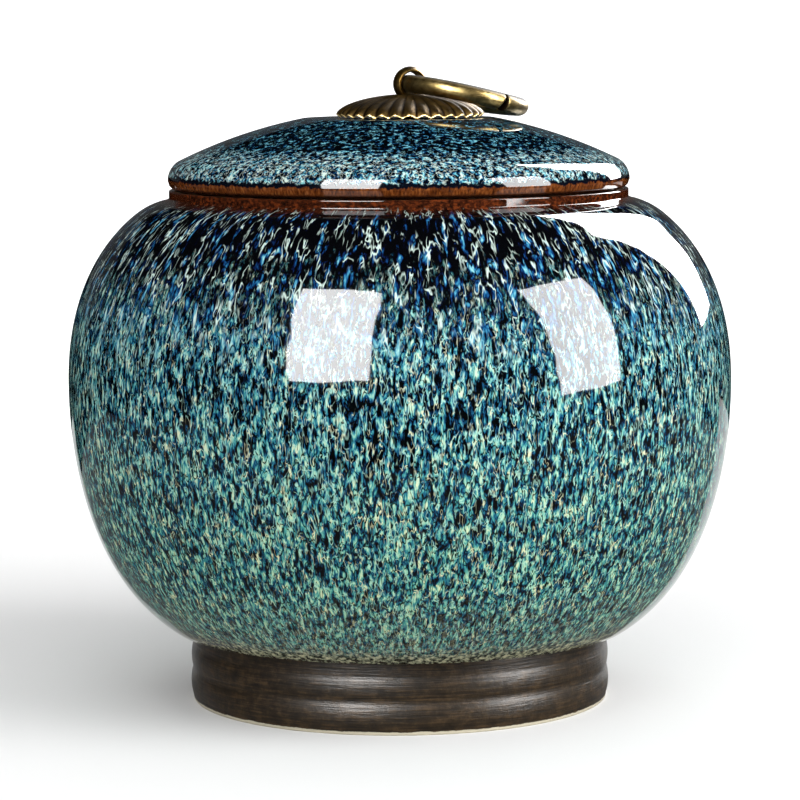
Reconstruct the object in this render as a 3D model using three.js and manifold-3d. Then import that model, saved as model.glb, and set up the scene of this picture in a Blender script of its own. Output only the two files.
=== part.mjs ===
// A glazed stoneware funeral urn: a round hollow jar on a ridged foot, a domed lid that lifts off, and
// a brass ring knob held on the lid by a split loop. Millimetres, +Z up, the origin in the middle of
// the foot's underside, the ring lying over towards +X.
import * as THREE from 'three';
import { mergeVertices } from 'three/addons/utils/BufferGeometryUtils.js';
import Module from 'manifold-3d';

const wasm = await Module();
wasm.setup();

// Clearances
const restGap = 0.3; // between pieces that rest on each other
const flangeClearance = 1; // round the lid's flange, in the mouth
const slotClearance = 0.3; // round the loop, in the rosette
const boreClearance = 1.2; // round the legs, in the lid

// Jar
const bellyRadius = 90;
const bellyHeight = 87; // height of the widest circle
const underBend = 2; // below it, how soon the side turns in
const underFullness = 4; // and how square the turn is
const shoulderBend = 2.14; // the same two above the widest circle
const shoulderFullness = 3.8;
const jarWall = 5;
const lipRadius = 62.2;
const lipHeight = 139;
const lipRound = 0.8;
const mouthRadius = 54;

// Foot
const footRadius = 55.8;
const footHeight = 20;
const footLedge = 6.7; // how far the belly stands out over the foot
const footRingWidth = 8;
const footRecess = 3.5;
const footFloor = 7;
const floorRound = 4;
const footEdge = 0.8; // worn lower edge
const ridges = [
  { height: 2.6, swell: 0.35, width: 2.2 },
  { height: 10.6, swell: 0.85, width: 3.6 },
];

// Lid
const lidOverhang = 0.3; // how far the rim stands out past the lip
const lidUndercut = 1.3; // how far the rim's lower edge is drawn in
const lidRimHeight = 2.9; // from the seat to the widest circle
const rimRound = 5;
const crownRadius = 135; // radius of the dome's curve
const landMargin = 2.8; // flat crown left round the rosette
const lidWall = 5;
const flangeDepth = 8;
const flangeThickness = 4;

// Rosette
const knobOffset = 3.2; // the knob sits a little off the lid's middle
const knobTurn = 22; // degrees that the loop is turned about the upright
const rosetteRadius = 20;
const rosetteHeight = 5.4;
const rosetteFullness = 1.75;
const rosetteSheet = 1.2;
const fluteCount = 32;
const fluteDepth = 0.7;
const scallopDepth = 0.6;

// Loop
const stripThickness = 0.8;
const stripWidth = 4;
const loopRadius = 4.7;
const loopLift = 2.7; // loop's middle above the rosette's crown
const legAngle = 50; // degrees below level where the loop runs into its legs
const legSpread = 9; // length of each spread end

// Ring
const ringRadius = 15.8; // to the middle of the wire
const wireRadius = 2.2;
const ringSlope = 14; // degrees that the lying ring falls away
const jointAngle = 65; // degrees from the ring's far end round to its butt joint
const jointGap = 0.5;

// Smoothness
const turnedSides = 56;
const outerSteps = 7;
const innerSteps = 5;
const wireSides = 10;
const ringSteps = 36;

const { degToRad } = THREE.MathUtils;
const at = (radius, height) => new THREE.Vector2(radius, height);

// Points along a circular arc, both ends included, angles in degrees.
function arc(centre, radius, from, to, steps) {
  return Array.from({ length: steps + 1 }, (_, i) => {
    const angle = degToRad(from + ((to - from) * i) / steps);
    return at(centre.x + radius * Math.cos(angle), centre.y + radius * Math.sin(angle));
  });
}

// A solid turned about the upright from an outline that starts and ends on the axis.
function turned(outline, sides = turnedSides) {
  return new THREE.LatheGeometry(outline, sides).rotateX(Math.PI / 2);
}

function toManifold(geometry) {
  const bare = geometry.clone();
  bare.deleteAttribute('normal');
  bare.deleteAttribute('uv');
  const merged = mergeVertices(bare, 1e-3);
  const vertProperties = merged.attributes.position.array;
  const triVerts = new Uint32Array(merged.index.array);
  return new wasm.Manifold(new wasm.Mesh({ numProp: 3, vertProperties, triVerts }));
}

function cut(geometry, tool) {
  const { vertProperties, triVerts } = toManifold(geometry).subtract(toManifold(tool)).getMesh();
  const result = new THREE.BufferGeometry();
  result.setAttribute('position', new THREE.BufferAttribute(vertProperties, 3));
  result.setIndex(new THREE.BufferAttribute(triVerts, 1));
  result.computeVertexNormals();
  return result;
}

// The angle at which a value that falls steadily with the angle reaches a target.
function angleWhere(valueAt, target, highest) {
  let low = 0;
  let high = highest;
  for (let i = 0; i < 40; i += 1) {
    const middle = (low + high) / 2;
    if (valueAt(middle) > target) low = middle;
    else high = middle;
  }
  return low;
}

// One half of the belly's outline, from its widest circle towards the axis, passing through a given
// end circle. It gives the outer point at an angle from 0 to a right angle, and the inner one.
function bellyHalf(bend, fullness, endRadius, endHeight) {
  const share = (1 - (endRadius / bellyRadius) ** fullness) ** (1 / bend);
  const reach = (endHeight - bellyHeight) / share;
  const outer = (angle) =>
    at(
      bellyRadius * Math.cos(angle) ** (2 / fullness),
      bellyHeight + reach * Math.sin(angle) ** (2 / bend),
    );
  const inner = (angle) => {
    const step = 1e-4;
    const near = Math.max(angle, step);
    const along = outer(near + step).sub(outer(near - step)).normalize();
    const inward = at(-Math.abs(along.y), -Math.sign(reach) * Math.abs(along.x));
    return outer(angle).addScaledVector(inward, jarWall);
  };
  return { outer, inner, endAngle: Math.asin(share ** (bend / 2)) };
}

function steps(count, pointAt) {
  return Array.from({ length: count + 1 }, (_, i) => pointAt(i / count));
}

// The foot's side: straight, with soft throwing ridges.
function footSide(height) {
  const swell = ridges.reduce(
    (sum, ridge) => sum + ridge.swell * Math.exp(-(((height - ridge.height) / ridge.width) ** 2)),
    0,
  );
  return at(footRadius + swell, height);
}

function jarOutline() {
  const nearlyUpright = 1.5;
  const under = bellyHalf(underBend, underFullness, footRadius + footLedge, footHeight);
  const shoulder = bellyHalf(shoulderBend, shoulderFullness, lipRadius, lipHeight - lipRound);
  const floorHeight = footRecess + footFloor;
  const wellRadius = footRadius - jarWall;
  const mouthAngle = angleWhere((a) => shoulder.inner(a).x, mouthRadius, nearlyUpright);
  const wellAngle = angleWhere((a) => under.inner(a).y, footHeight + jarWall, nearlyUpright);
  return [
    at(0, footRecess),
    at(footRadius - footRingWidth - footRecess / 2, footRecess),
    at(footRadius - footRingWidth, 0),
    at(footRadius - footEdge, 0),
    ...steps(outerSteps, (t) => footSide(THREE.MathUtils.lerp(footEdge, footHeight, t))),
    ...steps(outerSteps, (t) => under.outer(under.endAngle * (1 - t))),
    ...steps(outerSteps, (t) => shoulder.outer(shoulder.endAngle * t)).slice(1),
    ...arc(at(lipRadius - lipRound, lipHeight - lipRound), lipRound, 0, 90, 2).slice(1),
    ...arc(at(mouthRadius + lipRound, lipHeight - lipRound), lipRound, 90, 180, 2),
    ...steps(innerSteps, (t) => shoulder.inner(mouthAngle * (1 - t))),
    ...steps(innerSteps, (t) => under.inner(wellAngle * t)).slice(1),
    ...arc(at(footRadius, footHeight), jarWall, 90, 180, 3),
    ...arc(at(wellRadius - floorRound, floorHeight + floorRound), floorRound, 0, -90, 2),
    at(0, floorHeight),
  ];
}

// The lid's seat and the dome above it: a rim arc that runs into one large arc, flattened on top.
const lidRadius = lipRadius + lidOverhang;
const seatHeight = lipHeight + restGap;
const rimCentre = at(lidRadius - rimRound, seatHeight + lidRimHeight);
const rimSlope = Math.asin(rimCentre.x / (crownRadius - rimRound));
const domeCentreHeight = rimCentre.y - (crownRadius - rimRound) * Math.cos(rimSlope);
const domeHeight = (radius, thickness) =>
  domeCentreHeight + Math.sqrt((crownRadius - thickness) ** 2 - radius ** 2);
const landRadius = knobOffset + rosetteRadius + landMargin;
const landHeight = domeHeight(landRadius, 0);
const crownUnderside = landHeight - lidWall;

function lidOutline() {
  const flangeRadius = mouthRadius - flangeClearance;
  const flangeBore = flangeRadius - flangeThickness;
  const underLand = Math.sqrt((crownRadius - lidWall) ** 2 - (crownUnderside - domeCentreHeight) ** 2);
  const joinRadius = rimCentre.x + rimRound * Math.sin(rimSlope);
  const across = (from, to, thickness) => (t) => {
    const radius = THREE.MathUtils.lerp(from, to, t);
    return at(radius, domeHeight(radius, thickness));
  };
  return [
    at(0, crownUnderside),
    ...steps(3, across(underLand, flangeBore, lidWall)),
    at(flangeBore, seatHeight - flangeDepth),
    at(flangeRadius, seatHeight - flangeDepth),
    at(flangeRadius, seatHeight),
    at(lidRadius - lidUndercut, seatHeight),
    at(lidRadius - lidUndercut / 3, seatHeight + lidRimHeight / 3),
    ...arc(rimCentre, rimRound, 0, 90 - THREE.MathUtils.radToDeg(rimSlope), 3),
    ...steps(5, across(joinRadius, landRadius, 0)).slice(1),
    at(0, landHeight),
  ];
}

function makeLid() {
  const boreRadius = Math.hypot(stripThickness, stripWidth / 2) + boreClearance;
  const bore = new THREE.CylinderGeometry(boreRadius, boreRadius, 4 * lidWall, 24).rotateX(Math.PI / 2);
  bore.translate(knobOffset, 0, landHeight);
  return cut(turned(lidOutline()), bore);
}

// Heights in the knob, above the lid's land.
const rosetteCrown = restGap + fluteDepth + rosetteHeight;
const loopHeight = rosetteCrown + loopLift;

// The cap's own height at a radius, for its outer skin or for the inner one a sheet's thickness below.
function capHeight(radius, thickness) {
  const share = Math.max(0, 1 - (radius / (rosetteRadius - thickness)) ** 2);
  return (rosetteHeight - thickness) * share ** (1 / rosetteFullness);
}

// A cap pressed from sheet: flutes run out from the crown and end in a scalloped edge.
function makeRosette() {
  const skin = (thickness, count) =>
    steps(count, (t) => {
      const radius = (rosetteRadius - thickness) * Math.sin((t * Math.PI) / 2);
      return at(radius, fluteDepth + capHeight(radius, thickness));
    });
  const cap = turned([...skin(rosetteSheet, 3), ...skin(0, 5).reverse()], 2 * fluteCount);
  const position = cap.attributes.position;
  for (let i = 0; i < position.count; i += 1) {
    const x = position.getX(i);
    const y = position.getY(i);
    const share = Math.hypot(x, y) / rosetteRadius;
    const valley = (1 - Math.cos(fluteCount * Math.atan2(y, x))) / 2;
    const pull = 1 - (scallopDepth / rosetteRadius) * valley * share ** 3;
    position.setXYZ(i, x * pull, y * pull, position.getZ(i) - fluteDepth * valley * share);
  }
  const chord = Math.sqrt(Math.max(0, loopRadius ** 2 - loopLift ** 2));
  const slotWidth = 2 * (Math.max(chord, stripThickness) + slotClearance);
  const slot = new THREE.BoxGeometry(slotWidth, stripWidth + 2 * slotClearance, 4 * rosetteHeight);
  return cut(cap, slot).translate(0, 0, restGap);
}

// The split loop, seen from the front: a round eye over two legs, spread apart under the lid.
function makeLoop() {
  const angle = degToRad(legAngle);
  const side = at(loopRadius * Math.cos(angle), loopHeight - loopRadius * Math.sin(angle));
  const legTop = side.y - (side.x - stripThickness) / Math.tan(angle);
  const spreadTop = -lidWall - restGap;
  const spreadLow = spreadTop - stripThickness;
  const shape = new THREE.Shape([
    ...arc(at(0, loopHeight), loopRadius, -legAngle, 180 + legAngle, 20),
    at(-stripThickness, legTop),
    at(-stripThickness, spreadTop),
    at(-legSpread, spreadTop),
    at(-legSpread, spreadLow),
    at(legSpread, spreadLow),
    at(legSpread, spreadTop),
    at(stripThickness, spreadTop),
    at(stripThickness, legTop),
  ]);
  const eye = arc(at(0, loopHeight), loopRadius - stripThickness, 0, -360, 20).slice(1);
  shape.holes.push(new THREE.Path(eye));
  const loop = new THREE.ExtrudeGeometry(shape, { depth: stripWidth, bevelEnabled: false });
  return loop.translate(0, 0, -stripWidth / 2).rotateX(Math.PI / 2);
}

// The wire's route round the ring, open at the butt joint.
class WireRoute extends THREE.Curve {
  getPoint(t, target = new THREE.Vector3()) {
    const halfGap = jointGap / 2 / ringRadius;
    const joint = degToRad(-jointAngle);
    const angle = joint + THREE.MathUtils.lerp(halfGap, 2 * Math.PI - halfGap, t);
    return target.set(ringRadius * Math.cos(angle), ringRadius * Math.sin(angle), 0);
  }
}

function makeRing() {
  const section = new THREE.Shape(arc(at(0, 0), wireRadius, 0, 360, wireSides).slice(1));
  return new THREE.ExtrudeGeometry(section, {
    steps: ringSteps,
    extrudePath: new WireRoute(),
  });
}

function named(name, geometry, material) {
  const mesh = new THREE.Mesh(geometry, material);
  mesh.name = name;
  return mesh;
}

const glaze = (color) => new THREE.MeshStandardMaterial({ color, roughness: 0.12, metalness: 0 });
const brass = () => new THREE.MeshStandardMaterial({ color: '#8f7440', roughness: 0.35, metalness: 1 });

// The knob stands on the lid's land: its rosette and loop, and the ring lying to one side.
const knob = new THREE.Group();
knob.position.set(knobOffset, 0, landHeight);
knob.rotation.z = degToRad(knobTurn);
knob.add(named('rosette', makeRosette(), brass()));
knob.add(named('eye', makeLoop(), brass()));

const ring = named('ring', makeRing(), brass());
ring.rotation.y = degToRad(ringSlope);
ring.position.set(ringRadius, 0, 0).applyEuler(ring.rotation);
ring.position.z += loopHeight;
knob.add(ring);

const urn = new THREE.Group();
urn.add(named('jar', turned(jarOutline()), glaze('#2b5966')));
urn.add(named('lid', makeLid(), glaze('#2a4a5a')));
urn.add(knob);

export default urn;
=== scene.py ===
from math import asin, atan2, cos, degrees, hypot, pi, radians, sin, sqrt, tan

import bmesh
import bpy
from mathutils import Euler, Matrix, Vector


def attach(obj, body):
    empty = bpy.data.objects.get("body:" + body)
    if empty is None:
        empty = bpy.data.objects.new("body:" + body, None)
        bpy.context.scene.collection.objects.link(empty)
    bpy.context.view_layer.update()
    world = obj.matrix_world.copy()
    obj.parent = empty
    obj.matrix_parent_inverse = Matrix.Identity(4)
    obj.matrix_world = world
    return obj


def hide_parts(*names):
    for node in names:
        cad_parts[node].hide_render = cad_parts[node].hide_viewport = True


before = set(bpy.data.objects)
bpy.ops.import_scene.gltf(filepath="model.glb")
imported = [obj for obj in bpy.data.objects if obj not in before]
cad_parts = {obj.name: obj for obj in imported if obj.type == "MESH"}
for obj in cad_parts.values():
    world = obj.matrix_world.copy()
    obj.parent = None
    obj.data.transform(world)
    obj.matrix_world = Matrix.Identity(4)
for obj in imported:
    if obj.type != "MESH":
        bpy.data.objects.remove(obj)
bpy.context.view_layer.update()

# The view: a long lens in front of the urn, a little above it and looking slightly down, tipped by
# a third of a degree.
CAMERA_AWAY = 0.9125
CAMERA_HEIGHT = 0.1835
CAMERA_DOWN = radians(6.395)
CAMERA_TIP = radians(0.351)
FOCAL_PIXELS = 3362.4
IMAGE_PIXELS = 800
SENSOR = 36.0

camera_data = bpy.data.cameras.new("camera")
camera_data.sensor_width = SENSOR
camera_data.lens = FOCAL_PIXELS / IMAGE_PIXELS * SENSOR
camera_data.clip_end = 20
camera = bpy.data.objects.new("camera", camera_data)
camera.location = (0, -CAMERA_AWAY, CAMERA_HEIGHT)
looking = Euler((pi / 2 - CAMERA_DOWN, 0, 0)).to_matrix() @ Matrix.Rotation(-CAMERA_TIP, 3, "Z")
camera.rotation_euler = looking.to_euler()
bpy.context.collection.objects.link(camera)
bpy.context.scene.camera = camera
bpy.context.scene.view_settings.view_transform = "Standard"
bpy.context.scene.view_settings.look = "None"

# The studio: a white paper floor that runs up into a backdrop and glows a little further back, three
# softboxes whose faces show in the gloss, two soft lamps for the colours and the shadow, and a soft
# surround. The gloss sees flat cards in place of the paper.
FLOOR_FRONT, FLOOR_BACK = 2.4, 0.75
SWEEP_HALF, SWEEP_TOP, SWEEP_CURVE, SWEEP_STEPS = 2.6, 2.2, 0.6, 12
PAPER_TONE = 0.86
GLOW_FROM, GLOW_TO, GLOW = 0.05, 0.7, 0.5
TABLE_TONE, NEAR_TONE, BACK_TONE = 0.4, 0.8, 0.055
TABLE_CARD = [(-0.6, -0.3, 0), (0.6, -0.3, 0), (0.6, 0.3, 0), (-0.6, 0.3, 0)]
NEAR_CARD = [(-0.08, 0.02, 0.0004), (0.08, 0.02, 0.0004), (0.5, 0.55, 0.0004), (-0.3, 0.55, 0.0004)]
BACK_CARD = [(-1, 1.1, 0.15), (1, 1.1, 0.15), (1, 1.1, 0.5), (-1, 1.1, 0.5)]
SHARP = radians(50)


def paint(code):
    """The linear colour of a hex code."""
    shares = [int(code[i : i + 2], 16) / 255 for i in (1, 3, 5)]
    return (*[s / 12.92 if s <= 0.04045 else ((s + 0.055) / 1.055) ** 2.4 for s in shares], 1)


def put(shape, name, *materials):
    """A new object from a bmesh, shaded smooth except at its sharp edges, with its materials."""
    mesh = bpy.data.meshes.new(name)
    shape.to_mesh(mesh)
    shape.free()
    for material in materials:
        mesh.materials.append(material)
    mesh.shade_smooth()
    mesh.set_sharp_from_angle(angle=SHARP)
    piece = bpy.data.objects.new(name, mesh)
    bpy.context.collection.objects.link(piece)
    return piece


def chain(shape, points):
    """New vertices at the points, and the edges that join them in a row."""
    line = [shape.verts.new(point) for point in points]
    return line, [shape.edges.new(pair) for pair in zip(line, line[1:])]


def draw_out(shape, edges, along):
    """Draws a row of edges out along a vector, and returns the new row."""
    drawn = bmesh.ops.extrude_edge_only(shape, edges=edges)["geom"]
    moved = [part for part in drawn if isinstance(part, bmesh.types.BMVert)]
    bmesh.ops.translate(shape, verts=moved, vec=along)
    return [part for part in drawn if isinstance(part, bmesh.types.BMEdge)]


def new_finish(name, roughness, ior=1.5, metallic=0.0):
    """A material and its surface shader, with the values that are the same all over it."""
    material = bpy.data.materials.new(name)
    material.use_nodes = True
    surface = material.node_tree.nodes["Principled BSDF"]
    surface.inputs["Roughness"].default_value = roughness
    surface.inputs["IOR"].default_value = ior
    surface.inputs["Metallic"].default_value = metallic
    return material, surface


def matt(name, tone):
    """A matt finish without any gloss, from black at 0 to white at 1."""
    material, surface = new_finish(name, 0.9)
    surface.inputs["Base Color"].default_value = (tone, tone, tone, 1)
    surface.inputs["Specular IOR Level"].default_value = 0
    return material, surface


def add(material, kind, settings=None, **sockets):
    """A node with its settings, and a value or another node's output in each socket. In a socket's
    name an underscore stands for a space, and an underscore with a number is the socket's number."""
    tree = material.node_tree
    node = tree.nodes.new(kind)
    for key, value in (settings or {}).items():
        setattr(node, key, value)
    for key, value in sockets.items():
        socket = node.inputs[int(key[1:])] if key[1:].isdigit() else node.inputs[key.replace("_", " ")]
        if isinstance(value, bpy.types.NodeSocket):
            tree.links.new(value, socket)
        else:
            socket.default_value = value
    return node


def feed(material, surface, **sockets):
    """Links an output to each named socket of the surface, with the names written as for add."""
    for key, output in sockets.items():
        material.node_tree.links.new(output, surface.inputs[key.replace("_", " ")])


def spread(material, value, low, high, to_low=0.0, to_high=1.0):
    """The value carried from one range to another, held at its ends, with a smooth start and stop."""
    names = {"From_Min": low, "From_Max": high, "To_Min": to_low, "To_Max": to_high}
    settings = {"interpolation_type": "SMOOTHSTEP"}
    return add(material, "ShaderNodeMapRange", settings, Value=value, **names).outputs[0]


def sheet(name, outline, material):
    """A wide sheet, straight from side to side, along an outline of (y, z) points. The gloss doesn't
    see it."""
    shape = bmesh.new()
    _, edges = chain(shape, [(-SWEEP_HALF, y, z) for y, z in outline])
    draw_out(shape, edges, (2 * SWEEP_HALF, 0, 0))
    bmesh.ops.recalc_face_normals(shape, faces=shape.faces)
    laid = put(shape, name, material)
    laid.visible_glossy = False


def gloss_card(name, corners, tone):
    """A flat card that shows in the gloss alone: what the glaze mirrors of the paper."""
    shape = bmesh.new()
    shape.faces.new([shape.verts.new(corner) for corner in corners])
    card = put(shape, name, matt(name, tone)[0])
    card.visible_camera = card.visible_diffuse = card.visible_shadow = False


paper, paper_surface = matt("white paper", PAPER_TONE)
spot = add(paper, "ShaderNodeTexCoord").outputs["Object"]
depth = add(paper, "ShaderNodeSeparateXYZ", Vector=spot).outputs["Y"]
feed(paper, paper_surface, Emission_Strength=spread(paper, depth, GLOW_FROM, GLOW_TO, 0.0, GLOW))
sheet("floor", [(-FLOOR_FRONT, 0), (FLOOR_BACK, 0)], paper)
gloss_card("table in the gloss", TABLE_CARD, TABLE_TONE)
gloss_card("white paper in the gloss", NEAR_CARD, NEAR_TONE)
gloss_card("backdrop in the gloss", BACK_CARD, BACK_TONE)
turns = [step / SWEEP_STEPS * pi / 2 for step in range(SWEEP_STEPS + 1)]
curve = [(FLOOR_BACK + SWEEP_CURVE * sin(t), SWEEP_CURVE * (1 - cos(t))) for t in turns]
sheet("backdrop", [*curve, (FLOOR_BACK + SWEEP_CURVE, SWEEP_TOP)], paper)

BOX_AWAY = 1.3
BOX_AIM = Vector((0, 0, 0.1))
BOX_WIDTH, BOX_HEIGHT = 0.628, 1.03
SOFT_SIDE = 0.9
SURROUND = 0.48
SOFTBOXES = {
    "left front softbox": dict(turn=-23.9, rise=27.3, radiance=31, yaw=-2.0, tilt=-8.5, roll=2.0),
    "right softbox": dict(turn=66.7, rise=20.4, radiance=25, yaw=-16.3, tilt=1.0, roll=-1.5),
    "right back softbox": dict(turn=140.5, rise=26.5, radiance=36),
}
SOFT_LAMPS = {
    "soft lamp front": dict(turn=2, rise=34, radiance=3.3),
    "soft lamp right": dict(turn=56, rise=33, radiance=5.4),
}


def add_lamp(name, width, height, turn, rise, radiance, yaw=0.0, tilt=0.0, roll=0.0):
    """A rectangular lamp, turned round from the viewer's side and raised. It faces the urn, and is
    then turned off it by the last three angles. Angles are in degrees."""
    data = bpy.data.lights.new(name, "AREA")
    data.shape = "RECTANGLE"
    data.size, data.size_y = width, height
    data.energy = radiance * pi * width * height
    lamp = bpy.data.objects.new(name, data)
    level = cos(radians(rise))
    away = Vector((sin(radians(turn)) * level, -cos(radians(turn)) * level, sin(radians(rise))))
    lamp.location = BOX_AIM + BOX_AWAY * away
    facing = away.to_track_quat("Z", "Y").to_matrix()
    turned_off = Euler((radians(-tilt), radians(yaw), radians(roll))).to_matrix()
    lamp.rotation_euler = (facing @ turned_off).to_euler()
    lamp.visible_camera = False
    bpy.context.collection.objects.link(lamp)
    return lamp


for name, box in SOFTBOXES.items():
    add_lamp(name, BOX_WIDTH, BOX_HEIGHT, **box).visible_diffuse = False
for name, lamp in SOFT_LAMPS.items():
    add_lamp(name, SOFT_SIDE, SOFT_SIDE, **lamp).visible_glossy = False

world = bpy.data.worlds.new("studio")
world.use_nodes = True
background = world.node_tree.nodes["Background"]
background.inputs["Color"].default_value = (1, 1, 1, 1)
background.inputs["Strength"].default_value = SURROUND
world.cycles_visibility.glossy = False
bpy.context.scene.world = world

# The jar: stoneware thrown in one piece, hollow, on a foot with two flat beads that stands a little
# off the middle. A flowing glaze covers it down to the foot, which has a brushed dark slip over bare
# clay at its standing edge. Sizes from here on are in millimetres.
MM = 0.001
SIDES = 224
BELLY, BELLY_HEIGHT = 90, 87
UNDER_BEND, UNDER_FULLNESS = 2, 4
SHOULDER_BEND, SHOULDER_FULLNESS = 2.14, 3.8
WALL, MOUTH = 5, 54
LIP, LIP_HEIGHT, LIP_ROUND, LIP_EDGE = 62.2, 139, 0.8, 0.3
NECK_DROP, NECK_REACH, NECK_WALL, NECK_FILLET, NECK_HOLD = 1.9, 10, 2.0, 0.5, 0.08
FOOT, FOOT_HEIGHT, LEDGE = 55.8, 20, 6.7
FOOT_SWELL, FOOT_SHIFT, FOOT_TAPER = 0.95, -0.5, 0.1
FOOT_RING, RECESS, FLOOR, FLOOR_ROUND, FOOT_EDGE = 8, 3.5, 7, 4, 0.5
BEADS = [{"low": 1.2, "high": 8.8, "swell": 0.55}, {"low": 8.8, "high": 15.3, "swell": 0.42}]
BEAD_STEPS = 8
FOOT_ROWS = (15.7, 18, FOOT_HEIGHT)
UNDER_STEPS, OVER_STEPS, INNER_STEPS = 30, 40, 14


def arc(centre, radius, start, end, steps):
    """Points along an arc, both ends included, angles in degrees."""
    turns = [radians(start + (end - start) * i / steps) for i in range(steps + 1)]
    return [(centre[0] + radius * cos(t), centre[1] + radius * sin(t)) for t in turns]


def belly_half(bend, fullness, end_radius, end_height):
    """Half of the belly's outline: its outer and inner point at an angle, and the angle it ends at."""
    share = (1 - (end_radius / BELLY) ** fullness) ** (1 / bend)
    reach = (end_height - BELLY_HEIGHT) / share
    upward = 1 if reach > 0 else -1
    step = 1e-4

    def outer(angle):
        return BELLY * cos(angle) ** (2 / fullness), BELLY_HEIGHT + reach * sin(angle) ** (2 / bend)

    def inner(angle):
        near = max(angle, step)
        low, high = outer(near - step), outer(near + step)
        along = Vector((high[0] - low[0], high[1] - low[1])).normalized()
        x, y = outer(angle)
        return x - WALL * abs(along.y), y - upward * WALL * abs(along.x)

    return outer, inner, asin(share ** (bend / 2))


def angle_where(value_at, target):
    """The angle at which a value that falls as the angle grows comes down to the target."""
    low, high = 0, 1.5
    for _ in range(40):
        middle = (low + high) / 2
        low, high = (middle, high) if value_at(middle) > target else (low, middle)
    return low


def foot_side():
    """The foot's outside: two flat beads with a crease between them, and a straight neck above."""
    side = FOOT + FOOT_SWELL
    points = [(side - FOOT_TAPER, FOOT_EDGE)]
    for bead in BEADS:
        for i in range(BEAD_STEPS + 1):
            share = i / BEAD_STEPS
            swell = bead["swell"] * (1 - (2 * share - 1) ** 2)
            points.append((side + swell, bead["low"] + (bead["high"] - bead["low"]) * share))
    return [*points, *[(side, level) for level in FOOT_ROWS]]


def shoulder_point(point):
    """The shoulder, drawn down a little towards the neck so that the neck stands up from it."""
    near = max(0, 1 - (point[0] - LIP) / NECK_REACH)
    return point[0], point[1] - NECK_DROP * near**2


def jar_outline():
    """The jar's outline: out under the foot, up the outside, over the lip and down the inside."""
    lip_low = LIP_HEIGHT - LIP_ROUND
    lip_side = LIP_HEIGHT - LIP_EDGE
    neck_low = LIP_HEIGHT - NECK_WALL
    floor, well = RECESS + FLOOR, FOOT - WALL
    under, under_inner, under_end = belly_half(UNDER_BEND, UNDER_FULLNESS, FOOT + LEDGE, FOOT_HEIGHT)
    over, over_inner, over_end = belly_half(SHOULDER_BEND, SHOULDER_FULLNESS, LIP, lip_low)
    mouth_angle = angle_where(lambda angle: over_inner(angle)[0], MOUTH)
    well_angle = angle_where(lambda angle: under_inner(angle)[1], FOOT_HEIGHT + WALL)
    return [
        (0, RECESS),
        (FOOT - FOOT_RING - RECESS / 2, RECESS),
        (FOOT - FOOT_RING, 0),
        *arc((FOOT + FOOT_SWELL - FOOT_TAPER - FOOT_EDGE, FOOT_EDGE), FOOT_EDGE, -90, -20, 4),
        *foot_side(),
        *[under(under_end * (1 - i / UNDER_STEPS)) for i in range(UNDER_STEPS + 1)],
        *[shoulder_point(over(over_end * i / OVER_STEPS)) for i in range(1, OVER_STEPS)],
        *arc((LIP + NECK_FILLET, neck_low), NECK_FILLET, 245, 180, 5),
        (LIP, neck_low + NECK_HOLD),
        (LIP, lip_side - NECK_HOLD),
        *arc((LIP - LIP_EDGE, lip_side), LIP_EDGE, 0, 90, 5),
        *arc((MOUTH + LIP_ROUND, lip_low), LIP_ROUND, 90, 180, 5),
        *[over_inner(mouth_angle * (1 - i / INNER_STEPS)) for i in range(INNER_STEPS + 1)],
        *[under_inner(well_angle * i / INNER_STEPS) for i in range(1, INNER_STEPS + 1)],
        *arc((FOOT, FOOT_HEIGHT), WALL, 90, 180, 6)[1:],
        *arc((well - FLOOR_ROUND, floor + FLOOR_ROUND), FLOOR_ROUND, 0, -90, 5),
        (0, floor),
    ]


def spin_round(shape, parts, turn, steps, whole):
    """Turns parts of a shape about the upright, merges what meets and faces it outwards."""
    about = dict(cent=(0, 0, 0), axis=(0, 0, 1), dvec=(0, 0, 0), angle=turn, steps=steps)
    bmesh.ops.spin(shape, geom=parts, use_merge=whole, **about)
    bmesh.ops.remove_doubles(shape, verts=shape.verts, dist=1e-6)
    bmesh.ops.recalc_face_normals(shape, faces=shape.faces)


def turned(outline, sides):
    """A shape turned about the upright from an outline, closed where the outline meets the axis."""
    shape = bmesh.new()
    line, edges = chain(shape, [(x * MM, 0, z * MM) for x, z in outline])
    spin_round(shape, line + edges, 2 * pi, sides, True)
    return shape


def calc(material, operation, a, b=0.0, c=0.0):
    """A sum worked out on values or outputs."""
    return add(material, "ShaderNodeMath", {"operation": operation}, _0=a, _1=b, _2=c).outputs[0]


def vector_calc(material, operation, a, b=(0, 0, 0), output="Vector"):
    """A sum worked out on vectors."""
    node = add(material, "ShaderNodeVectorMath", {"operation": operation}, _0=a, _1=b)
    return node.outputs[output]


def noise(material, vector, scale, detail=2.0, roughness=0.5, output="Fac"):
    """A cloudy field about 0.5, with its scale in waves to the millimetre."""
    settings = {"Scale": scale, "Detail": detail, "Roughness": roughness}
    return add(material, "ShaderNodeTexNoise", Vector=vector, **settings).outputs[output]


def noise_apart(material, vector, offset, scale):
    """A plain noise that is read some way off, so that it doesn't follow the other patterns."""
    return noise(material, vector_calc(material, "ADD", vector, offset), scale, 1.0)


def ramp(material, value, stops):
    """A colour that runs through stops of (place, hex code) as the value rises."""
    node = add(material, "ShaderNodeValToRGB", Fac=value)
    marks = node.color_ramp.elements
    while len(marks) < len(stops):
        marks.new(0.5)
    for mark, (position, code) in zip(marks, stops):
        mark.position = position
        mark.color = paint(code)
    return node.outputs["Color"]


def blend_colours(material, share, first, second, mode="MIX"):
    """Two colours blended by a share, each a hex code or another node's output."""
    node = add(material, "ShaderNodeMix", {"data_type": "RGBA", "blend_type": mode}, _0=share)
    for index, colour in ((6, first), (7, second)):
        if isinstance(colour, bpy.types.NodeSocket):
            material.node_tree.links.new(colour, node.inputs[index])
        else:
            node.inputs[index].default_value = paint(colour)
    return node.outputs[2]


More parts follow.
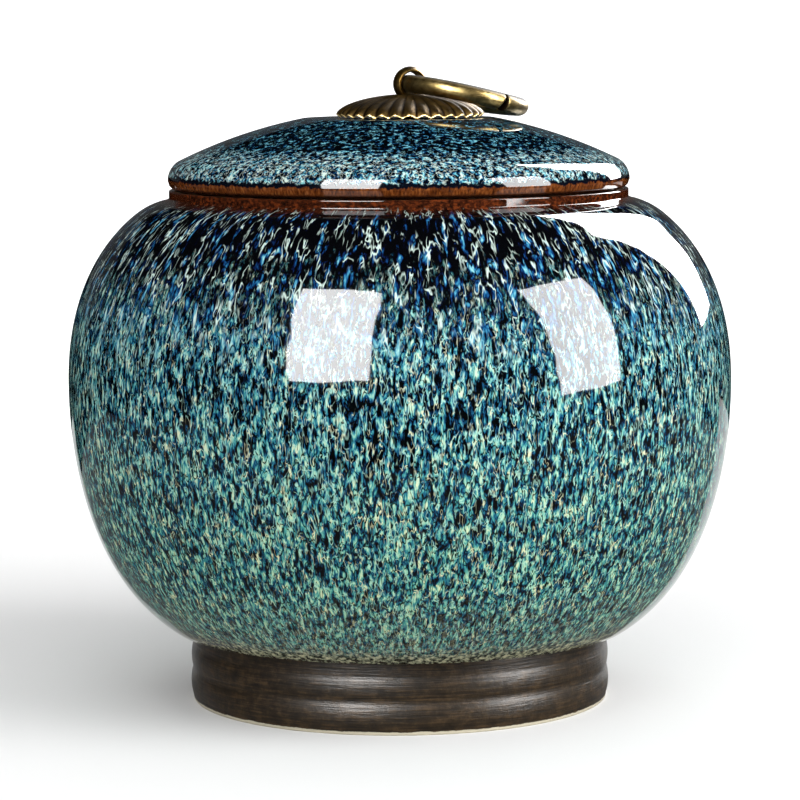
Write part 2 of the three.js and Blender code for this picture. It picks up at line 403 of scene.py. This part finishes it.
def ragged(material, level, field, reach):
    """A level pushed up and down by a noise field, so that what follows it has a ragged edge."""
    push = calc(material, "MULTIPLY", calc(material, "SUBTRACT", field, 0.5), reach)
    return calc(material, "ADD", level, push)


def uneven(material, surface, field, strength, reach):
    """Makes the surface a little uneven by a noise field, with the reach in metres."""
    bump = add(material, "ShaderNodeBump", Strength=strength, Distance=reach, Height=field)
    feed(material, surface, Normal=bump.outputs[0])


def place_on_piece(material):
    """The object's coordinates in millimetres: the vector, the height and the distance from the axis."""
    coordinates = add(material, "ShaderNodeTexCoord").outputs["Object"]
    place = vector_calc(material, "MULTIPLY", coordinates, (1000, 1000, 1000))
    height = add(material, "ShaderNodeSeparateXYZ", Vector=place).outputs["Z"]
    flat = vector_calc(material, "MULTIPLY", place, (1, 1, 0))
    return place, height, vector_calc(material, "LENGTH", flat, output="Value")


def flow_lines(material, place, along, girth, stretch):
    """Coordinates that run round the piece and down its slope, so that a pattern drips with the glaze."""
    flat = vector_calc(material, "MULTIPLY", place, (1, 1, 0))
    round_about = vector_calc(material, "NORMALIZE", flat)
    ring = vector_calc(material, "MULTIPLY", round_about, (girth, girth, 0))
    down = add(material, "ShaderNodeCombineXYZ", Z=calc(material, "MULTIPLY", along, stretch))
    return vector_calc(material, "ADD", ring, down.outputs[0])


def vein(material, field, width):
    """A thin line where a field passes its middle: 1 on the line and 0 away from it."""
    off = calc(material, "ABSOLUTE", calc(material, "SUBTRACT", field, 0.5))
    return spread(material, off, 0.0, width, 1.0, 0.0)


def curdled_glaze(material, flow, size, swirl, stops, shift, punch, thread, thread_share, vein_width):
    """The flowing glaze: a blotched ground, black veins and pale threads that curl over it, all pushed
    about by the same noise. Returns the colour and the ground's field."""
    push = noise(material, flow, 0.55 / size, 1.0, 0.5, "Color")
    push = vector_calc(material, "SUBTRACT", push, (0.5, 0.5, 0.5))
    push = vector_calc(material, "MULTIPLY", push, (swirl, swirl, swirl))
    pushed = vector_calc(material, "ADD", flow, push)
    ground = noise(material, pushed, 1 / size, 3.0, 0.55)
    level = calc(material, "MULTIPLY_ADD", calc(material, "SUBTRACT", ground, 0.5), punch, 0.5)
    colour = ramp(material, calc(material, "ADD", level, shift), stops)
    dark = vein(material, noise_apart(material, pushed, (31, 7, 13), 1.1 / size), vein_width)
    colour = blend_colours(material, dark, colour, "#040507")
    pale = vein(material, noise_apart(material, pushed, (5, 43, 29), 1.15 / size), 0.06)
    patchy = calc(material, "ADD", noise_apart(material, flow, (17, 3, 51), 0.75 / size), thread_share)
    pale = calc(material, "MULTIPLY", pale, spread(material, patchy, 0.47, 0.57))
    pale = calc(material, "MULTIPLY", pale, spread(material, ground, 0.42, 0.56, 0.45, 1.0))
    return blend_colours(material, pale, colour, thread), ground


SHOULDER_GLAZE = [
    (0.0, "#020203"),
    (0.49, "#050508"),
    (0.54, "#0a1a42"),
    (0.585, "#144c7e"),
    (0.64, "#3f8fae"),
    (0.70, "#8ac4c8"),
    (0.80, "#c3dccd"),
]
BELLY_GLAZE = [
    (0.0, "#030405"),
    (0.405, "#06090b"),
    (0.448, "#0d2a4c"),
    (0.497, "#1b597d"),
    (0.555, "#3f9299"),
    (0.62, "#84bdb0"),
    (0.71, "#c6d9c0"),
]
OLIVE_GLAZE = [
    (0.0, "#0e0e0a"),
    (0.42, "#23231a"),
    (0.48, "#5a5d50"),
    (0.55, "#8c8e74"),
    (0.66, "#b4b092"),
]
LIP_RUST = [(0.32, "#170a05"), (0.5, "#3a1a0d"), (0.66, "#6c3216")]
WARM_BAND, OLIVE_BAND, OLIVE_FADE = (40, 105), (21.0, 25.5), (24, 44)
SHOULDER_BAND, RUST_BAND = (100, 120), (135.4, 136.8)

glaze, glaze_surface = new_finish("jar glaze", 0.04, 1.36)
place, height, away = place_on_piece(glaze)
above = calc(glaze, "SIGN", calc(glaze, "SUBTRACT", height, BELLY_HEIGHT))
drawn_in = calc(glaze, "SUBTRACT", BELLY, away)
drawn_in = calc(glaze, "MULTIPLY", drawn_in, calc(glaze, "MULTIPLY", above, 0.75))
slope_way = calc(glaze, "ADD", height, drawn_in)
flow = flow_lines(glaze, place, slope_way, BELLY, 0.34)
long_flow = flow_lines(glaze, place, slope_way, BELLY * 0.9, 0.27)

drips = noise(glaze, vector_calc(glaze, "MULTIPLY", long_flow, (1, 1, 0.6)), 0.4, 2.0, 0.5)
drips = calc(glaze, "SUBTRACT", drips, 0.5)
shift = calc(glaze, "MULTIPLY_ADD", drips, 0.25, spread(glaze, height, 85, 138, 0.03, -0.055))
top, top_ground = curdled_glaze(
    glaze, long_flow, 1.7, 2.0, SHOULDER_GLAZE, shift, 1.1, "#d0e6dc", -0.015, 0.06
)
drip_share = spread(glaze, height, 30, 110, 0.1, 0.4)
shift = calc(glaze, "MULTIPLY_ADD", drips, drip_share, spread(glaze, height, 50, 112, 0.011, -0.02))
punch = spread(glaze, height, 25, 120, 0.85, 1.22)
yellowed = spread(glaze, noise(glaze, place, 0.35, 1.0), 0.5, 0.62)
thread = blend_colours(glaze, yellowed, "#a2d2ca", "#d9dcbc")
low, low_ground = curdled_glaze(glaze, flow, 1.15, 1.4, BELLY_GLAZE, shift, punch, thread, 0.03, 0.09)
low = blend_colours(glaze, spread(glaze, height, *WARM_BAND, 1.0, 0.0), low, "#fff8e2", "MULTIPLY")

olive = ramp(glaze, noise(glaze, place, 0.8, 3.0, 0.6), OLIVE_GLAZE)
near_foot = spread(glaze, ragged(glaze, height, low_ground, -7.0), *OLIVE_BAND, 0.0, 0.75)
above_foot = calc(glaze, "ADD", near_foot, spread(glaze, height, *OLIVE_FADE, 0.0, 0.25))
low = blend_colours(glaze, above_foot, olive, low)
on_shoulder = spread(glaze, ragged(glaze, height, top_ground, 70.0), *SHOULDER_BAND)
colour = blend_colours(glaze, on_shoulder, low, top)
mottle = noise(glaze, vector_calc(glaze, "MULTIPLY", place, (0.9, 0.9, 1.3)), 1.0, 3.0, 0.6)
on_lip = spread(glaze, ragged(glaze, height, top_ground, 5.0), *RUST_BAND)
colour = blend_colours(glaze, on_lip, colour, ramp(glaze, mottle, LIP_RUST))
feed(glaze, glaze_surface, Base_Color=colour)
uneven(glaze, glaze_surface, noise(glaze, place, 0.12, 1.0), 0.12, 0.0006)

SLIP_COLOURS = [(0.38, "#1a1206"), (0.5, "#2c200f"), (0.62, "#47351e")]
CLAY_LINE = (0.8, 1.05)
slip, slip_surface = new_finish("foot slip", 0.35, 1.4)
place, height, _ = place_on_piece(slip)
mottle = noise(slip, place, 0.35, 4.0, 0.65)
strokes = noise(slip, vector_calc(slip, "MULTIPLY", place, (0.1, 0.1, 2.0)), 1.0, 3.0, 0.6)
tone = calc(slip, "MULTIPLY", calc(slip, "ADD", mottle, strokes), 0.5)
covered = spread(slip, ragged(slip, height, mottle, 0.8), *CLAY_LINE)
feed(slip, slip_surface, Base_Color=blend_colours(slip, covered, "#c4bca6", ramp(slip, tone, SLIP_COLOURS)))
uneven(slip, slip_surface, tone, 0.6, 0.0003)

shape = turned(jar_outline(), SIDES)
foot_top, foot_out = FOOT_HEIGHT + 0.01, FOOT + LEDGE / 2
foot_points = [v for v in shape.verts if v.co.z < foot_top * MM and hypot(v.co.x, v.co.y) < foot_out * MM]
bmesh.ops.translate(shape, verts=foot_points, vec=(FOOT_SHIFT * MM, 0, 0))
for face in shape.faces:
    middle = face.calc_center_median() / MM
    outside = middle.z < foot_top and hypot(middle.x - FOOT_SHIFT, middle.y) > FOOT - 0.9
    underneath = middle.z < RECESS + 0.1
    face.material_index = 1 if outside or underneath else 0
jar = put(shape, "urn_jar", glaze, slip)
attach(jar, "urn")
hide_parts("jar")

# The lid: a low stoneware dome thrown like the jar, in the same glaze, which breaks to rust brown on
# its rim. Its underside, the seat and the flange that drops into the mouth are bare clay.
SEAT, LID, LID_UNDERCUT, LID_EASE = 139.3, 62.5, 1.3, 0.3
RIM_ROUND, RIM_HEIGHT, RIM_SAG, RIM_STEPS = 5, 2.9, 0.7, 14
CROWN, LAND, LID_WALL = 135, 26, 5
FLANGE, FLANGE_WALL, FLANGE_DEPTH, FLANGE_ROUND = 53, 4, 8, 0.8
UNDER_DOME_STEPS, DOME_STEPS = 10, 24
KNOB_ALONG, KNOB_TURN, BORE = 3.2, 22, 3.35
rim_centre = (LID - RIM_ROUND, SEAT + RIM_HEIGHT)
rim_slope = asin(rim_centre[0] / (CROWN - RIM_ROUND))
dome_centre = rim_centre[1] - (CROWN - RIM_ROUND) * cos(rim_slope)


def dome_height(radius, thickness=0):
    """The height of the dome at a distance from the axis, or of a face that lies under it."""
    return dome_centre + sqrt((CROWN - thickness) ** 2 - radius**2)


land_height = dome_height(LAND)
under_land = sqrt((CROWN - LID_WALL) ** 2 - (land_height - LID_WALL - dome_centre) ** 2)


def spaced(first, last, count):
    """Even steps from the first value to the last, both included."""
    return [first + (last - first) * i / count for i in range(count + 1)]


def lid_outline():
    """The lid's outline: out under the dome, round the flange, out along the seat, over the rim and
    up the dome to the flat land."""
    flange_bore = FLANGE - FLANGE_WALL
    low = SEAT - FLANGE_DEPTH
    join = rim_centre[0] + RIM_ROUND * sin(rim_slope)
    rim = arc(rim_centre, RIM_ROUND, 0, 90 - degrees(rim_slope), RIM_STEPS)
    return [
        *[(r, dome_height(r, LID_WALL)) for r in spaced(under_land, flange_bore, UNDER_DOME_STEPS)],
        *arc((flange_bore + FLANGE_ROUND, low + FLANGE_ROUND), FLANGE_ROUND, 180, 270, 4),
        *arc((FLANGE - FLANGE_ROUND, low + FLANGE_ROUND), FLANGE_ROUND, -90, 0, 4),
        (FLANGE, SEAT),
        (LID - LID_UNDERCUT - LID_EASE, SEAT),
        (LID - LID_UNDERCUT, SEAT + LID_EASE / 2),
        (LID - LID_UNDERCUT / 3, SEAT + RIM_HEIGHT / 3),
        (LID - LID_UNDERCUT / 10, SEAT + RIM_HEIGHT * 0.7),
        *[(r, z - RIM_SAG * (1 - i / RIM_STEPS)) for i, (r, z) in enumerate(rim)],
        *[(r, dome_height(r)) for r in spaced(join, LAND, DOME_STEPS)[1:]],
    ]


shape = turned(lid_outline(), SIDES)
open_edges = [e for e in shape.edges if e.is_boundary]
between = (land_height - LID_WALL / 2) * MM
land_edge = [e for e in open_edges if e.verts[0].co.z > between]
hollow_edge = [e for e in open_edges if e.verts[0].co.z < between]
bores = []
for level in (land_height, land_height - LID_WALL):
    at = Matrix.Translation((KNOB_ALONG * MM, 0, level * MM))
    circle = bmesh.ops.create_circle(shape, segments=SIDES, radius=BORE * MM, matrix=at)
    bores.append([e for e in shape.edges if all(v in circle["verts"] for v in e.verts)])
for pair in ((land_edge, bores[0]), (bores[0], bores[1]), (bores[1], hollow_edge)):
    bmesh.ops.bridge_loops(shape, edges=pair[0] + pair[1])
bmesh.ops.recalc_face_normals(shape, faces=shape.faces)

CROWN_GLAZE = [
    (0.0, "#010203"),
    (0.475, "#02050b"),
    (0.51, "#0b2a55"),
    (0.555, "#1f6288"),
    (0.61, "#62b2bf"),
    (0.70, "#c4e2d8"),
]
RIM_RUST = [(0.3, "#331708"), (0.5, "#663414"), (0.68, "#8f5226")]
PALE_BAND, DARK_LINE, RIM_BAND, SEAT_SHADE_BAND = (48, 57), (142.8, 143.5), (141.7, 142.2), (139.6, 140.6)

lid_glaze, lid_surface = new_finish("lid glaze", 0.04, 1.36)
place, height, away = place_on_piece(lid_glaze)
to_rim = spread(lid_glaze, away, *PALE_BAND)
shift = calc(lid_glaze, "MULTIPLY_ADD", to_rim, 0.09, -0.05)
thread_share = calc(lid_glaze, "MULTIPLY_ADD", to_rim, 0.16, -0.05)
thread = blend_colours(lid_glaze, to_rim, "#7cc4d2", "#d0dfd4")
colour, ground = curdled_glaze(
    lid_glaze, place, 1.4, 1.4, CROWN_GLAZE, shift, 1.0, thread, thread_share, 0.10
)
edge = ragged(lid_glaze, height, ground, 2.5)
colour = blend_colours(lid_glaze, spread(lid_glaze, edge, *DARK_LINE), "#080b14", colour)
grain = noise(lid_glaze, vector_calc(lid_glaze, "MULTIPLY", place, (1.6, 1.6, 0.3)), 1.0, 3.0, 0.6)
rust = ramp(lid_glaze, grain, RIM_RUST)
colour = blend_colours(lid_glaze, spread(lid_glaze, edge, *RIM_BAND), rust, colour)
# Painted shade: the lid's lowest edge, just above the seat, is darkened to near black brown for the shade
# in the gap over the jar's rim.
colour = blend_colours(lid_glaze, spread(lid_glaze, height, *SEAT_SHADE_BAND), "#1e0e07", colour)
feed(lid_glaze, lid_surface, Base_Color=colour)

CLAY_COLOURS = [(0.3, "#8d7d66"), (0.55, "#b3a48a"), (0.75, "#c6b99f")]
clay, clay_surface = new_finish("bare clay", 0.75, 1.4)
speckle = noise(clay, place_on_piece(clay)[0], 0.6, 4.0, 0.7)
feed(clay, clay_surface, Base_Color=ramp(clay, speckle, CLAY_COLOURS))

for face in shape.faces:
    middle = face.calc_center_median() / MM
    radius = hypot(middle.x, middle.y)
    upper = middle.z > dome_height(min(radius, LID - 2)) - LID_WALL / 2
    on_rim = radius > LID - LID_UNDERCUT - LID_EASE - 0.1
    face.material_index = 0 if upper or on_rim else 1
lid = put(shape, "urn_lid", lid_glaze, clay)
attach(lid, "urn")
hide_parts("lid")

# The rosette: a cap pressed from thin brass sheet, with flutes that run out to a scalloped edge,
# painted pale along its rim: partly rubbed brass, partly a painted highlight. A dark patina lies in the
# flutes. It sits loose on the lid's flat land.
REST_GAP = 0.3
ROSETTE, ROSETTE_HEIGHT, ROSETTE_FULLNESS, ROSETTE_SHEET = 20, 5.4, 1.75, 0.5
FLUTES, FLUTE_DEPTH, SCALLOP = 32, 0.7, 0.6
ROSETTE_SIDES = FLUTES * 10
INNER_SKIN_STEPS, OUTER_SKIN_STEPS = 8, 22
VALLEY_SHARE = 0.35
RUBBED_HIGHLIT_RISE, RUBBED_HIGHLIT_OUT = (0.15, 0.4), (17.5, 18.5)
knob_turn = Matrix.Rotation(radians(KNOB_TURN), 4, "Z")
to_knob = Matrix.Translation((KNOB_ALONG * MM, 0, land_height * MM)) @ knob_turn


def cap_height(radius, inset):
    """The height of the plain cap at a distance from its middle."""
    share = max(0, 1 - (radius / (ROSETTE - inset)) ** 2)
    return (ROSETTE_HEIGHT - inset) * share ** (1 / ROSETTE_FULLNESS)


def cap_skin(inset, steps):
    """The outline of one face of the sheet, from the middle out."""
    radii = [(ROSETTE - inset) * sin(i / steps * pi / 2) for i in range(steps + 1)]
    return [(r, FLUTE_DEPTH + cap_height(r, inset)) for r in radii]


def flute(vertex):
    """Draws a point of the plain cap down and in, by how near it is to the middle of a flute."""
    away = hypot(vertex.co.x, vertex.co.y)
    if away < 1e-6:
        return
    valley = (1 - cos(FLUTES * atan2(vertex.co.y, vertex.co.x))) / 2
    share = away / (ROSETTE * MM)
    pull = 1 - SCALLOP / ROSETTE * valley * share**4
    crease = VALLEY_SHARE * valley**3 * share**2
    scallop = (1 - VALLEY_SHARE) * valley * share**10
    drop = FLUTE_DEPTH * MM * (crease + scallop)
    vertex.co = Vector((vertex.co.x * pull, vertex.co.y * pull, vertex.co.z - drop))


def brass_finish(name, roughness, dark, mid, bright):
    """Brass with a patina, mottled and a little uneven. Returns the material, its surface shader, the
    place on the piece, and the colour and roughness for the piece to change and feed in."""
    material, surface = new_finish(name, roughness, 1.5, 1.0)
    place = place_on_piece(material)[0]
    tone = noise(material, place, 0.35, 4.0, 0.6)
    colour = ramp(material, tone, [(0.3, dark), (0.52, mid), (0.75, bright)])
    scuffs = noise(material, place, 1.4, 3.0, 0.6)
    rough = calc(material, "MULTIPLY_ADD", scuffs, 0.25, roughness - 0.1)
    uneven(material, surface, scuffs, 0.12, 0.0002)
    return material, surface, place, colour, rough


inner_skin, outer_skin = cap_skin(ROSETTE_SHEET, INNER_SKIN_STEPS), cap_skin(0, OUTER_SKIN_STEPS)
shape = turned([*inner_skin, *reversed(outer_skin)], ROSETTE_SIDES)
for vertex in shape.verts:
    flute(vertex)
bmesh.ops.translate(shape, verts=shape.verts, vec=(0, 0, REST_GAP * MM))
bmesh.ops.transform(shape, verts=shape.verts, matrix=to_knob)

patina, patina_surface, place, colour, rough = brass_finish(
    "rosette brass", 0.46, "#251c0e", "#3d2f17", "#574424"
)
centred = vector_calc(patina, "SUBTRACT", place, (KNOB_ALONG, 0, 0))
flat = vector_calc(patina, "MULTIPLY", centred, (1, 1, 0))
out_from_knob = vector_calc(patina, "LENGTH", flat, output="Value")
parts = add(patina, "ShaderNodeSeparateXYZ", Vector=centred).outputs
turn = calc(patina, "SUBTRACT", calc(patina, "ARCTAN2", parts["Y"], parts["X"]), radians(KNOB_TURN))
crest = calc(patina, "COSINE", calc(patina, "MULTIPLY", turn, float(FLUTES)))
colour = blend_colours(patina, spread(patina, crest, -1.0, -0.6), "#1c1309", colour)
# The scalloped rim is painted pale brass: partly rubbed metal, partly a painted highlight along the edge.
rim_level = calc(patina, "MULTIPLY", calc(patina, "ADD", crest, 1.0), FLUTE_DEPTH / 2)
above_rim = calc(patina, "SUBTRACT", parts["Z"], land_height + REST_GAP)
above_rim = calc(patina, "SUBTRACT", above_rim, rim_level)
at_rim = spread(patina, above_rim, *RUBBED_HIGHLIT_RISE, 1.0, 0.0)
rubbed_and_highlit = calc(patina, "MULTIPLY", at_rim, spread(patina, out_from_knob, *RUBBED_HIGHLIT_OUT))
colour = blend_colours(patina, rubbed_and_highlit, colour, "#cdb57c")
feed(patina, patina_surface, Base_Color=colour, Roughness=rough)
rosette = put(shape, "urn_rosette", patina)
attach(rosette, "urn")
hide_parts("rosette")

# The loop: a brass strip, a little bowed across, bent round into an eye. Its legs go down through the
# rosette and the lid, and their ends are spread flat under it, which holds the rosette on.
STRIP, STRIP_WIDTH, STRIP_EASE, STRIP_BOW, BOW_STEPS = 0.8, 4, 0.14, 0.8, 10
LOOP, LOOP_LIFT, LOOP_STEPS = 4.7, 2.7, 44
LEG_ANGLE, LEG_GAP, LEG_BEND, LEG_SPREAD = 50, 0.04, 0.8, 9
loop_height = REST_GAP + FLUTE_DEPTH + ROSETTE_HEIGHT + LOOP_LIFT
leg = (STRIP + LEG_GAP) / 2
spread_level = -LID_WALL - REST_GAP - STRIP / 2
side = arc((0, loop_height), LOOP - STRIP / 2, 180 + LEG_ANGLE, -LEG_ANGLE, LOOP_STEPS)
leg_top = side[-1][1] - (side[-1][0] - leg) / tan(radians(LEG_ANGLE))
bend = arc((leg + LEG_BEND, spread_level + LEG_BEND), LEG_BEND, 180, 270, 4)
half = [(leg, leg_top), *bend, (LEG_SPREAD, spread_level)]
route = [(-x, z) for x, z in reversed(half)] + side + half

shape = bmesh.new()
_, edges = chain(shape, [(x * MM, -STRIP_WIDTH / 2 * MM, z * MM) for x, z in route])
for _ in range(BOW_STEPS):
    edges = draw_out(shape, edges, (0, STRIP_WIDTH / BOW_STEPS * MM, 0))
for vertex in shape.verts:
    if vertex.co.z > (leg_top + 0.2) * MM:
        across = vertex.co.y / (STRIP_WIDTH / 2 * MM)
        centre = Vector((0, vertex.co.y, loop_height * MM))
        vertex.co += (centre - vertex.co).normalized() * STRIP_BOW * MM * across**2
bmesh.ops.recalc_face_normals(shape, faces=shape.faces)
bmesh.ops.transform(shape, verts=shape.verts, matrix=to_knob)

strip_brass, strip_surface, _, colour, rough = brass_finish(
    "loop brass", 0.32, "#33260f", "#54411f", "#7d6536"
)
feed(strip_brass, strip_surface, Base_Color=colour, Roughness=rough)
eye = put(shape, "urn_eye", strip_brass)
thick = eye.modifiers.new("strip thickness", "SOLIDIFY")
thick.thickness = STRIP * MM
thick.offset = 0
thick.use_even_offset = True
ease = eye.modifiers.new("eased edges", "BEVEL")
ease.width = STRIP_EASE * MM
ease.segments = 2
ease.limit_method = "ANGLE"
ease.angle_limit = SHARP
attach(eye, "urn")
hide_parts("eye")

# The ring: a brass wire bent round and hung in the loop's eye. Its two ends meet in a butt joint,
# where their cut faces open in a V. Its upper side is painted near black, rougher and hardly metallic, and
# the rest is plain brass.
RING, WIRE, RING_SLOPE = 15.8, 2.4, 13.4
WIRE_SIDES, RING_STEPS, CUT_EASE = 32, 144, 0.2
JOINT_ANGLE, JOINT_GAP, JOINT_OPEN, JOINT_REACH = 70, 0.45, 1.9, 30
FAR_END, FAR_LIFT = 18, 0.6
UPPER_SIDE = (1.2, 2.3)

shape = bmesh.new()
stand = Matrix.Translation((RING * MM, 0, 0)) @ Matrix.Rotation(pi / 2, 4, "X")
bmesh.ops.create_circle(shape, cap_ends=True, segments=WIRE_SIDES, radius=WIRE * MM, matrix=stand)
gap = degrees(JOINT_GAP / RING)
sweep_turn = 360 - gap
section = [*shape.verts, *shape.edges, *shape.faces]
spin_round(shape, section, radians(sweep_turn), RING_STEPS, False)
for vertex in shape.verts:
    from_start = degrees(atan2(vertex.co.y, vertex.co.x)) % 360
    low_share = (WIRE * MM - vertex.co.z) / (2 * WIRE * MM)
    near_end = (from_start - sweep_turn + JOINT_REACH) / JOINT_REACH
    if from_start < sweep_turn + gap / 2 and near_end > 0:
        back = Matrix.Rotation(-JOINT_OPEN / RING * low_share * near_end**2, 3, "Z")
        bmesh.ops.rotate(shape, verts=[vertex], cent=(0, 0, 0), matrix=back)
# The flat cut faces at the joint take the second material: painted shade in the V between the ends.
for face in shape.faces:
    face.material_index = 1 if len(face.verts) == WIRE_SIDES else 0
cut_edges = [e for e in shape.edges if e.calc_face_angle(0) > SHARP]
eased = dict(offset=CUT_EASE * MM, segments=2, profile=0.5, affect="EDGES", material=-1)
bmesh.ops.bevel(shape, geom=cut_edges, **eased)
joint_turn = Matrix.Rotation(radians(gap / 2 - JOINT_ANGLE), 3, "Z")
bmesh.ops.rotate(shape, verts=shape.verts, cent=(0, 0, 0), matrix=joint_turn)
bmesh.ops.translate(shape, verts=shape.verts, vec=(RING * MM, 0, 0))
for vertex in shape.verts:
    beyond = max(0, vertex.co.x / MM - FAR_END) / (2 * RING - FAR_END)
    vertex.co.z += FAR_LIFT * MM * beyond**2
slope = Matrix.Rotation(radians(RING_SLOPE), 4, "Y")
lie = Matrix.Translation((0, 0, loop_height * MM)) @ slope
bmesh.ops.transform(shape, verts=shape.verts, matrix=to_knob @ lie)

wire_brass, wire_surface, place, colour, rough = brass_finish(
    "ring brass", 0.32, "#554627", "#7b6a43", "#9f8d60"
)
wire_surface.inputs["Specular IOR Level"].default_value = 0.2
ring_up = (knob_turn @ slope).to_3x3() @ Vector((0, 0, 1))
ring_level = ring_up.dot((KNOB_ALONG, 0, land_height + loop_height))
# The upper side is painted near black, made rougher and hardly metallic; below it the ring is plain brass.
level = vector_calc(wire_brass, "DOT_PRODUCT", place, ring_up, output="Value")
upper = spread(wire_brass, calc(wire_brass, "SUBTRACT", level, ring_level), *UPPER_SIDE)
colour = blend_colours(wire_brass, upper, colour, "#150e07")
rough = calc(wire_brass, "MULTIPLY_ADD", upper, 0.4, rough)
metal_share = calc(wire_brass, "MULTIPLY_ADD", upper, -0.95, 1.0)
feed(wire_brass, wire_surface, Base_Color=colour, Roughness=rough, Metallic=metal_share)
# Painted shade: the joint's cut faces are near black, for the shade in the V between the ring's ends.
joint_shade_brass, joint_shade_surface = new_finish("ring joint painted shade", 0.6, 1.5, 1.0)
joint_shade_surface.inputs["Base Color"].default_value = paint("#1c130a")
ring = put(shape, "urn_ring", wire_brass, joint_shade_brass)
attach(ring, "pull_ring")
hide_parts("ring")
